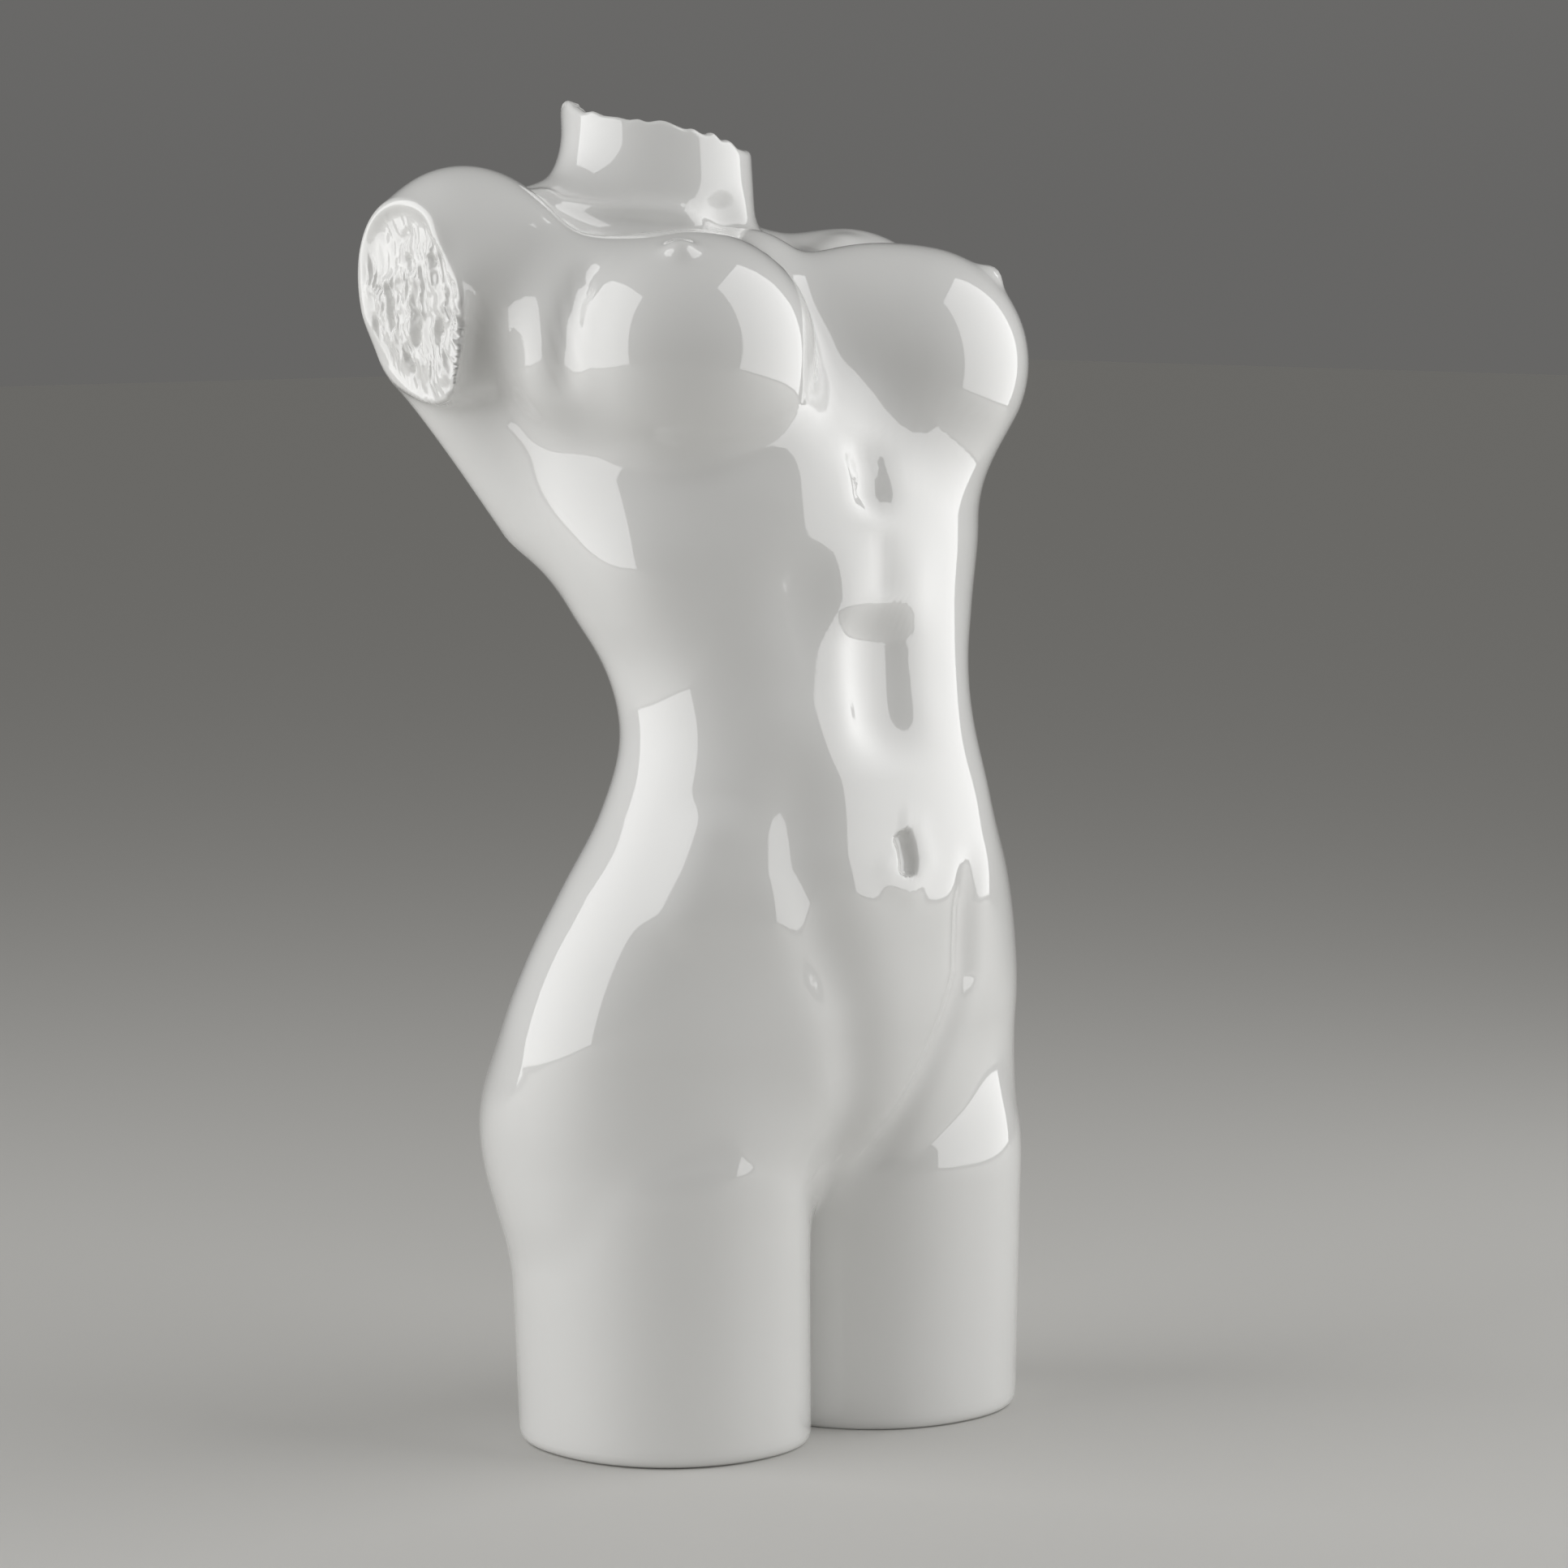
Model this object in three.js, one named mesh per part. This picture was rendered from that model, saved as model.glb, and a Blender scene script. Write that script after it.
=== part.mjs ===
// Torso of a standing woman, broken off at the neck and at both arms, legs cut level at mid thigh.
// One closed body: a smooth skin worked out from rounded masses that run into each other.
// Millimetres, +Z up, -Y the figure's front, +X its left. The origin is on the flat underside,
// on the web between the thighs.
import * as THREE from 'three';

// Driving sizes
const HEIGHT = 293;          // underside to the highest lump of the broken neck
const BASE_ROUND = 2.6;      // soft edge round the underside
const BREAK_RELIEF = 0.7;    // rise and fall of the broken faces of the arms
const COLUMNS = 84;          // facets round the body
const ROWS = 57;             // points from the base edge to the neck

// The figure's pose and proportions are laid out in parts of its height
const PARTS_HIGH = 293;
const PART = HEIGHT / PARTS_HIGH;
const baseRound = BASE_ROUND / PART;
const breakRelief = BREAK_RELIEF / PART;

// Trunk sections: height, half width, y of the widest line, y of the front, y of the back
const TRUNK = [
  [40, 58, 2, -20, 30],
  [51, 60, 3.5, -18, 34],
  [60, 61.5, 4.5, -24, 38.5],
  [72, 65, 4.5, -31.5, 41.5],
  [90, 66, 1.5, -36.5, 40.3],
  [107, 62.5, -1.5, -39, 33],
  [123, 56, -5, -41.5, 26],
  [139, 48.1, -8.5, -41, 20.5],
  [157, 42.7, -9, -39.8, 19],
  [171, 44.2, -5, -38, 23],
  [182, 48.5, 0, -36.5, 29.5],
  [200, 54.6, 8, -36, 41],
  [214, 57.5, 15, -34, 48],
  [228, 60, 21, -26, 54],
  [245, 60, 27, -12, 57],
  [262, 58, 33, 6, 58],
  [280, 55, 38, 24, 58],
];

// Thigh sections: height, x of the centre, y of the centre, half width, half depth
const THIGH = [
  [0, 29.5, 1, 31, 32],
  [30, 30, 1.5, 31.5, 32.5],
  [60, 30.5, 2, 32, 33.4],
  [95, 33, 4, 34, 36],
  [130, 34, 0, 30, 30],
];

// Inner line that the skin is measured from: share of the rows, y, height, elevation in degrees
const SPINE = [
  [0, 1, 0, 0],
  [0.15, 2, 60, 0],
  [0.32, 0, 110, 0],
  [0.46, -8, 157, 0],
  [0.6, 8, 200, 0],
  [0.69, 22, 226, 0],
  [0.76, 29, 237, 8],
  [0.84, 33, 243, 28],
  [0.92, 36, 248, 58],
  [1, 38, 250, 90],
];

const clamp = (value, low, high) => Math.min(Math.max(value, low), high);

// Smooth step from 0 at `from` to 1 at `to`
function ease(value, from, to) {
  const t = clamp((value - from) / (to - from), 0, 1);
  return t * t * (3 - 2 * t);
}

// Smooth curves through the columns of a table whose rows begin with their station
function curves(table) {
  const last = table.length - 1;
  const chords = table.slice(1).map((row, i) => row.map((value, k) => (value - table[i][k])
    / (row[0] - table[i][0])));
  const slopes = table.map((row, i) => row.map((value, k) => {
    if (i === 0) return chords[0][k];
    if (i === last) return chords[last - 1][k];
    const before = row[0] - table[i - 1][0];
    const after = table[i + 1][0] - row[0];
    return (chords[i - 1][k] * after + chords[i][k] * before) / (before + after);
  }));
  return (station) => {
    const at = clamp(station, table[0][0], table[last][0]);
    let i = 0;
    while (i < last - 1 && at > table[i + 1][0]) i += 1;
    const span = table[i + 1][0] - table[i][0];
    const t = (at - table[i][0]) / span;
    const startShare = 1 - t * t * (3 - 2 * t);
    const startSlope = span * t * (1 - t) * (1 - t);
    const endSlope = span * t * t * (t - 1);
    return table[i].map((value, k) => value * startShare + table[i + 1][k] * (1 - startShare)
      + slopes[i][k] * startSlope + slopes[i + 1][k] * endSlope);
  };
}

const trunkAt = curves(TRUNK);
const thighAt = curves(THIGH);
const spineAt = curves(SPINE);

// Forms are given by their depth at a point: below 0 inside, 0 on the skin, above 0 outside.
// `join` runs two forms into each other over a soft width, and `trim` keeps what both hold.
function join(a, b, soft) {
  const h = Math.max(soft - Math.abs(a - b), 0) / soft;
  return Math.min(a, b) - h * h * soft / 4;
}

const trim = (a, b, soft) => -join(-a, -b, soft);

// Egg of three half sizes round a centre
function egg([x, y, z], centre, half) {
  const q = [x - centre[0], y - centre[1], z - centre[2]];
  const near = Math.hypot(q[0] / half[0], q[1] / half[1], q[2] / half[2]);
  const far = Math.hypot(q[0] / half[0] ** 2, q[1] / half[1] ** 2, q[2] / half[2] ** 2);
  return near * (near - 1) / (far + 1e-9);
}

// Nearest place on the line from a to b: its share of the line, and the way from there to the point
function along([x, y, z], a, b) {
  const line = [b[0] - a[0], b[1] - a[1], b[2] - a[2]];
  const way = [x - a[0], y - a[1], z - a[2]];
  const length2 = line[0] * line[0] + line[1] * line[1] + line[2] * line[2];
  const share = clamp((way[0] * line[0] + way[1] * line[1] + way[2] * line[2]) / length2, 0, 1);
  return [share, [way[0] - share * line[0], way[1] - share * line[1], way[2] - share * line[2]]];
}

// Round limb from a to b whose radius changes from one end to the other
function limb(point, a, b, radiusA, radiusB) {
  const [share, way] = along(point, a, b);
  return Math.hypot(...way) - (radiusA + (radiusB - radiusA) * share);
}

// Oval limb: halfA and halfB are its half depth and half height, leaning back by `lean` degrees
function ovalLimb(point, a, b, halfA, halfB, lean) {
  const [share, way] = along(point, a, b);
  const depth = halfA[0] + (halfB[0] - halfA[0]) * share;
  const height = halfA[1] + (halfB[1] - halfA[1]) * share;
  const c = Math.cos(THREE.MathUtils.degToRad(lean));
  const s = Math.sin(THREE.MathUtils.degToRad(lean));
  const turned = [way[0], way[1] * c - way[2] * s, way[1] * s + way[2] * c];
  return egg(turned, [0, 0, 0], [(depth + height) / 2, depth, height]);
}

// Closed section of four half sizes round a centre line, squarer than an ellipse
function section(dx, dy, halfX, halfY, squareness) {
  const round = ((Math.abs(dx) / halfX) ** squareness + (Math.abs(dy) / halfY) ** squareness)
    ** (1 / squareness) + 1e-9;
  return Math.hypot(dx, dy) * (1 - 1 / round);
}

function trunk([x, y, z]) {
  const [, halfWidth, middle, front, back] = trunkAt(z);
  return section(x, y - middle, halfWidth, y < middle ? middle - front : back - middle, 2.3);
}

// Thigh on the side that `side` gives, -1 right or 1 left, set out and widened by a little
function thigh([x, y, z], side, out, back, wider) {
  const [, centreX, centreY, halfWidth, halfDepth] = thighAt(z);
  const dx = side * x - centreX - out;
  const dy = y - centreY - back;
  return trim(section(dx, dy, halfWidth + wider, halfDepth + wider, 2.15), z - 88, 34);
}

// Height of a rounded rise at a place, falling off over its three half sizes
function rise([x, y, z], centre, half, height) {
  const d2 = ((x - centre[0]) / half[0]) ** 2 + ((y - centre[1]) / half[1]) ** 2
    + ((z - centre[2]) / half[2]) ** 2;
  return height * Math.exp(-d2);
}

// Height of a ridge along a path, falling off over its width and fading at both ends
function ridge(point, path, width, height, fade) {
  let nearest = Infinity;
  let place = 0;
  for (let i = 0; i < path.length - 1; i += 1) {
    const [share, way] = along(point, path[i], path[i + 1]);
    const distance = Math.hypot(...way);
    if (distance < nearest) {
      nearest = distance;
      place = (i + share) / (path.length - 1);
    }
  }
  return height * Math.exp(-((nearest / width) ** 2)) * ease(place, 0, fade) * ease(1 - place, 0, fade);
}

// Large masses: trunk, thighs, seat, back, chest, neck, shoulders and what is left of the arms
function masses(point) {
  const [x, y, z] = point;
  const both = [Math.abs(x), y, z];
  let form = trunk(point);
  form = trim(form, 50 - z - 0.15 * (y + 14), 9);
  form = trim(form, (z - 266) * 0.72 - (y - 11) * 0.69, 14);
  form = trim(form, z - 262 + 0.07 * x, 18);
  const legs = join(thigh(point, -1, 0, 0, 0), thigh(point, 1, 1.2, -1.6, 0.8), 2.5);
  form = join(form, legs, 8);
  form = join(form, egg(both, [29.5, 14.5, 66], [29, 30.5, 28]), 14);
  form = join(form, limb(both, [46, 26, 205], [65, 35, 238], 5, 11), 18);
  form = join(form, limb(point, [-16, -1, 250.5], [-42, 2, 248.5], 12.5, 11), 12);
  form = join(form, limb(point, [-45, 4, 246], [-70, 24, 252], 12.5, 15), 12);
  form = join(form, limb(point, [20, -3, 247], [52, 13, 245], 12, 9), 12);
  form = join(form, limb(point, [-0.8, 35, 262], [-0.8, 37.6, 300], 21.4, 20.9), 9);
  form = join(form, limb(point, [-16, 41, 267], [-50, 36, 262], 10.5, 9.5), 12);
  form = join(form, limb(point, [12, 40, 259], [52, 38, 250], 9.5, 9.5), 10);
  form = join(form, egg(point, [-64, 26.5, 257], [21, 20, 21.5]), 12);
  form = join(form, ovalLimb(point, [-58, 27, 252], [-86, 23.2, 247.6], [17, 21], [16.8, 22.4], 19), 5);
  form = join(form, egg(point, [60, 37, 242], [21, 20, 21]), 12);
  form = join(form, ovalLimb(point, [56, 38, 240], [86, 38, 234], [16.5, 20], [16, 21], 14), 5);
  form = join(form, egg(point, [-50, 2, 241.5], [18.5, 14, 20]), 6);
  form = join(form, limb(point, [0.5, 5.5, 254], [0.5, -15, 226], 9.5, 9), 12);
  form = join(form, egg(point, [-34, -12.5, 240.4], [28.5, 25.5, 24.8]), 8);
  return join(form, egg(point, [31.8, -12.5, 235.3], [26.2, 25.5, 26]), 12);
}

// Rise of the finer forms above the masses
function carving(point) {
  const [x, y, z] = point;
  const both = [Math.abs(x), y, z];
  let up = rise(point, [0, -40, 104], [24, 24, 30], 2.2);
  up += ridge(both, [[10, -35, 205], [10, -39, 175], [10.5, -41, 150]], 6.5, 1, 0.3);
  up += ridge(point, [[-32, -31, 154], [-34, -32, 142], [-37, -32, 132], [-41, -30, 121],
    [-44, -28, 111]], 6.5, 1.9, 0.3);
  up += rise(point, [33, -28.5, 140], [9, 9, 15], 1);
  up += rise(point, [-26, -31, 68], [16, 8, 9], 0.75);
  up += rise(point, [-51, -14, 190], [15, 16, 13], 2);
  up += rise(point, [-15, -27, 222], [11, 10, 11], 3);
  up += rise(point, [-58, 8, 266], [8, 10, 8], 2.4);
  up += rise(point, [0, -43, 131], [6.5, 6, 8.5], 0.6);
  up += rise(point, [-45, -22.5, 261], [3.3, 3.3, 3.3], 2.3);
  up += rise(point, [46, -24, 255.5], [3.3, 3.3, 3.3], 2.4);
  up += ridge(point, [[-35, 29.2, 270.5], [-21.9, 23.5, 269.8], [-4.8, 14.5, 266]], 4, 1.1, 0.25);
  up += ridge(point, [[3, 13, 265], [24, 17, 263], [44, 26, 262], [56, 31, 262]], 4, 1.2, 0.25);
  up += ridge(both, [[20, 57, 258], [26, 58, 240], [34, 53, 222]], 9, 1.4, 0.3);
  up -= rise(point, [-74, 9, 240], [5, 7, 11], 3);
  up -= rise(point, [-81, 11.5, 259], [5, 4.5, 7], 1.8);
  up -= ridge(point, [[25, -39, 134], [23, -39, 117], [25, -36, 102], [20, -35, 88], [9, -28, 65],
    [2, -17, 53]], 3.4, 1.8, 0.2);
  up -= ridge(point, [[-20.3, -32.6, 196], [-20.5, -33.5, 175], [-20.3, -36.5, 150], [-20.5, -39.4, 130],
    [-17, -38.5, 113], [-11, -38, 98], [-6, -34, 82], [-3, -24, 62], [0, -16, 50]], 7.5, 2.2, 0.22);
  up -= ridge(point, [[0, -37, 184], [0, -37.8, 172], [0.5, -38.5, 162], [0.5, -40, 147]], 9, 3.4, 0.3);
  up -= ridge(point, [[2, -29, 222], [0, -32.8, 211.5], [-1.5, -35, 201]], 5.5, 2.8, 0.35);
  up -= rise(point, [1.5, -43, 131], [2.1, 5, 4.6], 3.6);
  up -= rise(point, [0, 14, 268], [5, 4, 4], 3);
  up -= ridge(point, [[0, 58, 255], [0, 54, 225], [0, 36, 190], [0, 20, 155], [0, 26, 125],
    [0, 38, 104]], 8, 2.4, 0.15);
  up -= rise(both, [15, 31, 113], [5, 5, 5], 1.2);
  up -= ridge(point, [[0, 40, 104], [0, 47, 88], [0, 46, 70], [0, 36, 52], [0, 30, 40]], 5, 6.5, 0.2);
  return up;
}

// Coarse ridges of a broken face, running up and down the limb's section
const fracture = (y, z) => breakRelief * (Math.sin(0.5 * y + 0.8 * Math.sin(0.2 * z))
  + 0.6 * Math.sin(0.3 * z - 0.35 * y));

// The whole figure, down through the underside
function figure(point) {
  const [x, y, z] = point;
  let form = masses(point) - carving(point);
  const leaning = 0.1 * (Math.max(z, 215) - 248);
  form = trim(form, -x - 80 - leaning + fracture(y, z), 3.5);
  form = trim(form, x - 78 + fracture(y + 9, z), 3.5);
  const lump = rise([x, y, 0], [-18.3, 45.5, 0], [6, 7, 1], 3.4);
  return trim(form, 0.2234 * (x + 14.8) - 0.0606 * (y - 22) + 0.9727 * (z - 288.1) - lump, 3);
}

// Depth at a point and the way out from there, from four samples round it
function slope(point) {
  const reach = 0.05;
  const corners = [[1, -1, -1], [-1, -1, 1], [-1, 1, -1], [1, 1, 1]];
  const out = [0, 0, 0];
  let depth = 0;
  for (const corner of corners) {
    const sample = figure(point.map((value, k) => value + reach * corner[k]));
    depth += sample / 4;
    corner.forEach((sign, k) => { out[k] += sign * sample / (4 * reach); });
  }
  return [depth, out];
}

// Moves a point onto the skin
function settle(point) {
  const [depth, out] = slope(point);
  const steep = out[0] ** 2 + out[1] ** 2 + out[2] ** 2;
  const limit = 3;
  const move = clamp(depth / Math.sqrt(steep), -limit, limit) / Math.sqrt(steep);
  return point.map((value, k) => value - move * out[k]);
}

// Distance from the inner line to the skin, halving the reach until it is found
function reachSkin(origin, way) {
  let inside = 0;
  let outside = 130;
  for (let i = 0; i < 11; i += 1) {
    const middle = (inside + outside) / 2;
    if (figure(origin.map((value, k) => value + middle * way[k])) < 0) inside = middle;
    else outside = middle;
  }
  return origin.map((value, k) => value + inside * way[k]);
}

// One column of skin points at a turn from the front, from the top of the soft base edge to the neck
function shootColumn(turn, samples) {
  const column = [];
  for (let i = 0; i < samples; i += 1) {
    const share = i / (samples - 1);
    const crowd = 0.22 * ease(share, 0.4, 0.66) * (1 - ease(share, 0.8, 0.95));
    const angle = turn - Math.PI / 2 - crowd * Math.sin(2 * turn - Math.PI);
    const [, back, height, elevation] = spineAt(share);
    const rising = THREE.MathUtils.degToRad(elevation);
    const way = [Math.cos(rising) * Math.cos(angle), Math.cos(rising) * Math.sin(angle), Math.sin(rising)];
    column.push(reachSkin([0, back, Math.max(height, baseRound)], way));
  }
  return column;
}

// The same column with its points spread evenly along it, closer together at the breaks
function spread(column, count) {
  const lengths = [0];
  for (let i = 1; i < column.length; i += 1) {
    const step = Math.hypot(...column[i].map((value, k) => value - column[i - 1][k]));
    const weight = 1 + ease(Math.abs(column[i][0]), 66, 76) + ease(column[i][2], 274, 280);
    lengths.push(lengths[i - 1] + step * weight);
  }
  const points = [];
  let i = 1;
  for (let n = 0; n < count; n += 1) {
    const goal = lengths[lengths.length - 1] * n / (count - 1);
    while (i < lengths.length - 1 && lengths[i] < goal) i += 1;
    const t = clamp((goal - lengths[i - 1]) / (lengths[i] - lengths[i - 1]), 0, 1);
    points.push(column[i].map((value, k) => column[i - 1][k] * (1 - t) + value * t));
  }
  return points;
}

// Skin as columns of points, settled and evened out, with its lowest row on the base edge
function buildSkin() {
  const samples = 3 * ROWS;
  let skin = [];
  for (let j = 0; j < COLUMNS; j += 1) {
    skin.push(spread(shootColumn(2 * Math.PI * j / COLUMNS, samples), ROWS).map(settle));
  }
  const top = ROWS - 1;
  for (let pass = 0; pass < 10; pass += 1) {
    skin = skin.map((column, j) => {
      const before = skin[(j + COLUMNS - 1) % COLUMNS];
      const after = skin[(j + 1) % COLUMNS];
      return column.map((point, i) => {
        if (i === 0 || i === top) return point;
        const middle = point.map((value, k) => (before[i][k] + after[i][k] + column[i - 1][k]
          + column[i + 1][k]) / 4);
        return settle(settle(point.map((value, k) => 0.4 * value + 0.6 * middle[k])));
      });
    });
  }
  return skin;
}

// Rows of the underside: rings of the lowest row drawn in and lowered, from the middle outwards
function buildBase(lowest) {
  const centre = [0, SPINE[0][1]];
  const rings = [[baseRound * 14, 0], [baseRound, 0], [baseRound * 0.29, baseRound * 0.29]];
  return rings.map(([inwards, height]) => lowest.map(([x, y]) => {
    const reach = Math.hypot(x - centre[0], y - centre[1]);
    const kept = Math.max(reach - inwards, 0.35 * reach) / reach;
    return [centre[0] + (x - centre[0]) * kept, centre[1] + (y - centre[1]) * kept, height];
  }));
}

// Closed surface from the rings of points and one point at each end
function buildTorso() {
  const skin = buildSkin();
  const lowest = skin.map((column) => column[0]);
  const rings = buildBase(lowest);
  for (let i = 0; i < ROWS - 1; i += 1) rings.push(skin.map((column) => column[i]));
  const last = skin.map((column) => column[ROWS - 1]);
  const mean = [0, 1, 2].map((k) => last.reduce((sum, point) => sum + point[k], 0) / COLUMNS);

  const positions = [[0, SPINE[0][1], 0], ...rings.flat(), mean].flat().map((value) => value * PART);
  const index = [];
  const at = (ring, column) => 1 + ring * COLUMNS + (column % COLUMNS);
  const end = 1 + rings.length * COLUMNS;
  for (let j = 0; j < COLUMNS; j += 1) {
    index.push(0, at(0, j + 1), at(0, j));
    for (let i = 0; i < rings.length - 1; i += 1) {
      index.push(at(i, j), at(i, j + 1), at(i + 1, j + 1));
      index.push(at(i, j), at(i + 1, j + 1), at(i + 1, j));
    }
    index.push(at(rings.length - 1, j), at(rings.length - 1, j + 1), end);
  }
  const geometry = new THREE.BufferGeometry();
  geometry.setAttribute('position', new THREE.Float32BufferAttribute(positions, 3));
  geometry.setIndex(index);
  geometry.computeVertexNormals();
  return geometry;
}

const porcelain = new THREE.MeshStandardMaterial({ color: 0xf1f0ed, roughness: 0.08, metalness: 0 });

const torso = new THREE.Mesh(buildTorso(), porcelain);
torso.name = 'torso';

const figureGroup = new THREE.Group();
figureGroup.add(torso);

export default figureGroup;
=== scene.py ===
import math

import bmesh
import bpy
import numpy as np
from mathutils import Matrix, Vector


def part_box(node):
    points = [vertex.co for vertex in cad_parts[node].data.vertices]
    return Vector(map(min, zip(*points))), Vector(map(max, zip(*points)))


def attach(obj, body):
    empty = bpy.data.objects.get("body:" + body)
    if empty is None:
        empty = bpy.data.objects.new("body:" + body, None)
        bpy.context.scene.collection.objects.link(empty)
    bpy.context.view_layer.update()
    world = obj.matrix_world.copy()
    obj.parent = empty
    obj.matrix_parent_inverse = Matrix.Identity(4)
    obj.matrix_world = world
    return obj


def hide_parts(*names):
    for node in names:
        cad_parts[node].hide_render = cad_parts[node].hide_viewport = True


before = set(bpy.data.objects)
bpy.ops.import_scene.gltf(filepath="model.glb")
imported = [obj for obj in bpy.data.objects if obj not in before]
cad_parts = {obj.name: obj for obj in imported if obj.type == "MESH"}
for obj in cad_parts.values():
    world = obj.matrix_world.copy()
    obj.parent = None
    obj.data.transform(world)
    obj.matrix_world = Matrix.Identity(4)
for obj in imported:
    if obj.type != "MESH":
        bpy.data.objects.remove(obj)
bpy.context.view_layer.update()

# Torso: a standing woman's body, broken off at the neck and at both upper arms, thighs cut level.
# It is one hollow piece of slip-cast porcelain. The mould gives the smooth skin, the breaks are torn
# while the clay is still soft, and clear glaze covers the whole outside.

# The figure is laid out in parts of its height, 293 from the foot to the lump on the broken neck.
# Every size and place of the torso below is in these parts, with -y to its front and x to its left.
PARTS_HIGH = 293
torso_low, torso_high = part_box("torso")
PART = (torso_high[2] - torso_low[2]) / PARTS_HIGH

BASE_ROUND = 2.6        # soft edge round the foot
COLUMNS, ROWS = 186, 250

# Trunk sections: height, half width, y of the widest line, y of the front, y of the back
TRUNK = [(40, 58, 2, -20, 30), (51, 60, 3.5, -18, 34), (60, 61.5, 4.5, -24, 38.5),
         (72, 65, 4.5, -31.5, 41.5), (90, 66, 1.5, -36.5, 40.3), (107, 62.5, -1.5, -39, 33),
         (123, 56, -5, -41.5, 26), (139, 48.1, -8.5, -41, 20.5), (157, 42.7, -9, -39.8, 19),
         (171, 44.2, -5, -38, 23), (182, 48.5, 0, -36.5, 29.5), (200, 54.6, 8, -36, 41),
         (214, 57.5, 15, -34, 48), (228, 60, 21, -26, 54), (245, 60, 27, -12, 57),
         (262, 58, 33, 6, 58), (280, 55, 38, 24, 58)]

# Thigh sections: height, x of the centre, y of the centre, half width, half depth
THIGH = [(0, 29.5, 1, 31, 32), (30, 30, 1.5, 31.5, 32.5), (60, 30.5, 2, 32, 33.4),
         (95, 33, 4, 34, 36), (130, 34, 0, 30, 30)]


def ease(value, start, end):
    """Smooth step: 0 up to start, 1 from end on, and 3 t squared less 2 t cubed between."""
    t = np.clip((value - start) / (end - start), 0, 1)
    return t * t * (3 - 2 * t)


def through(station, rows):
    """Smooth curve through the columns of a table whose rows begin with their station: between two
    rows it is the cubic that leaves and meets each row at the weighted mean of the chords beside it."""
    rows = np.array(rows, float)
    steps = np.diff(rows[:, 0])
    chords = np.diff(rows, axis=0) / steps[:, None]
    weighed = chords[:-1] * steps[1:, None] + chords[1:] * steps[:-1, None]
    inner = weighed / (steps[:-1] + steps[1:])[:, None]
    slopes = np.vstack([chords[:1], inner, chords[-1:]])
    at = np.clip(station, rows[0, 0], rows[-1, 0])
    i = np.clip(np.searchsorted(rows[:, 0], at, side="right") - 1, 0, len(steps) - 1)
    t = ((at - rows[i, 0]) / steps[i])[..., None]
    second = t * t * (3 - 2 * t)
    leave, meet = t * (1 - t) ** 2, t * t * (t - 1)
    values = rows[i] * (1 - second) + rows[i + 1] * second
    values = values + steps[i][..., None] * (slopes[i] * leave + slopes[i + 1] * meet)
    return np.moveaxis(values, -1, 0)[1:]


def join(a, b, soft):
    """Union of two depths, run into each other: the lesser of both, less h squared times soft over 4,
    where h falls from 1 where they are equal to 0 where they differ by soft."""
    h = np.maximum(soft - np.abs(a - b), 0) / soft
    return np.minimum(a, b) - h * h * soft / 4


def trim(a, b, soft):
    """What both depths hold: the union of their opposites, turned back."""
    return -join(-a, -b, soft)


TINY = 1e-9     # keeps a division by a length of 0 finite


def egg(p, centre, half):
    """Depth at p of an egg of three half sizes: k (k - 1) / l, where k is the length of p in half sizes
    and l its length in squared half sizes."""
    q = p - np.array(centre, float)
    half = np.array(half, float)
    k = np.linalg.norm(q / half, axis=-1)
    return k * (k - 1) / (np.linalg.norm(q / half ** 2, axis=-1) + TINY)


def along(p, a, b):
    """Nearest place on the line from a to b: its share of the line, and the way from there to p."""
    a, line = np.array(a, float), np.array(b, float) - np.array(a, float)
    share = np.clip((p - a) @ line / (line @ line), 0, 1)
    return share, p - a - share[..., None] * line


def limb(p, a, b, radius_a, radius_b):
    """Depth in a round limb: distance to its line less a radius that changes along it."""
    share, way = along(p, a, b)
    return np.linalg.norm(way, axis=-1) - (radius_a + (radius_b - radius_a) * share)


def oval_limb(p, a, b, half_a, half_b, lean):
    """Depth in a limb of oval section, half depth and half height given at both ends, leaning back."""
    share, way = along(p, a, b)
    deep, tall = (half_a[k] + (half_b[k] - half_a[k]) * share for k in (0, 1))
    c, s = math.cos(math.radians(lean)), math.sin(math.radians(lean))
    x, y, z = way[..., 0], way[..., 1], way[..., 2]
    turned = np.stack([x, y * c - z * s, y * s + z * c], -1)
    half = np.stack([(deep + tall) / 2, deep, tall], -1)
    k = np.linalg.norm(turned / half, axis=-1)
    return k * (k - 1) / (np.linalg.norm(turned / half ** 2, axis=-1) + TINY)


def section(dx, dy, half_x, half_y, squareness):
    """Depth in a closed section squarer than an ellipse: the distance to its middle, times 1 less the
    inverse of the superellipse radius."""
    across, deep = np.abs(dx) / half_x, np.abs(dy) / half_y
    radius = (across ** squareness + deep ** squareness) ** (1 / squareness)
    return np.hypot(dx, dy) * (1 - 1 / (radius + TINY))


THIGH_TOP = 88      # where the thighs end inside the hip


def thigh(p, side, out, back, wider):
    """Depth in the thigh on one side, -1 right or 1 left, ended softly inside the hip. It can stand
    further out and back than the table says, and be wider."""
    centre_x, centre_y, half_x, half_y = through(p[..., 2], THIGH)
    dx, dy = side * p[..., 0] - centre_x - out, p[..., 1] - centre_y - back
    column = section(dx, dy, half_x + wider, half_y + wider, squareness=2.15)
    return trim(column, p[..., 2] - THIGH_TOP, 34)


def rise(p, centre, half, height):
    """Rounded rise: height times e to the minus squared distance in half sizes."""
    q = (p - np.array(centre, float)) / np.array(half, float)
    return height * np.exp(-(q * q).sum(-1))


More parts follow.
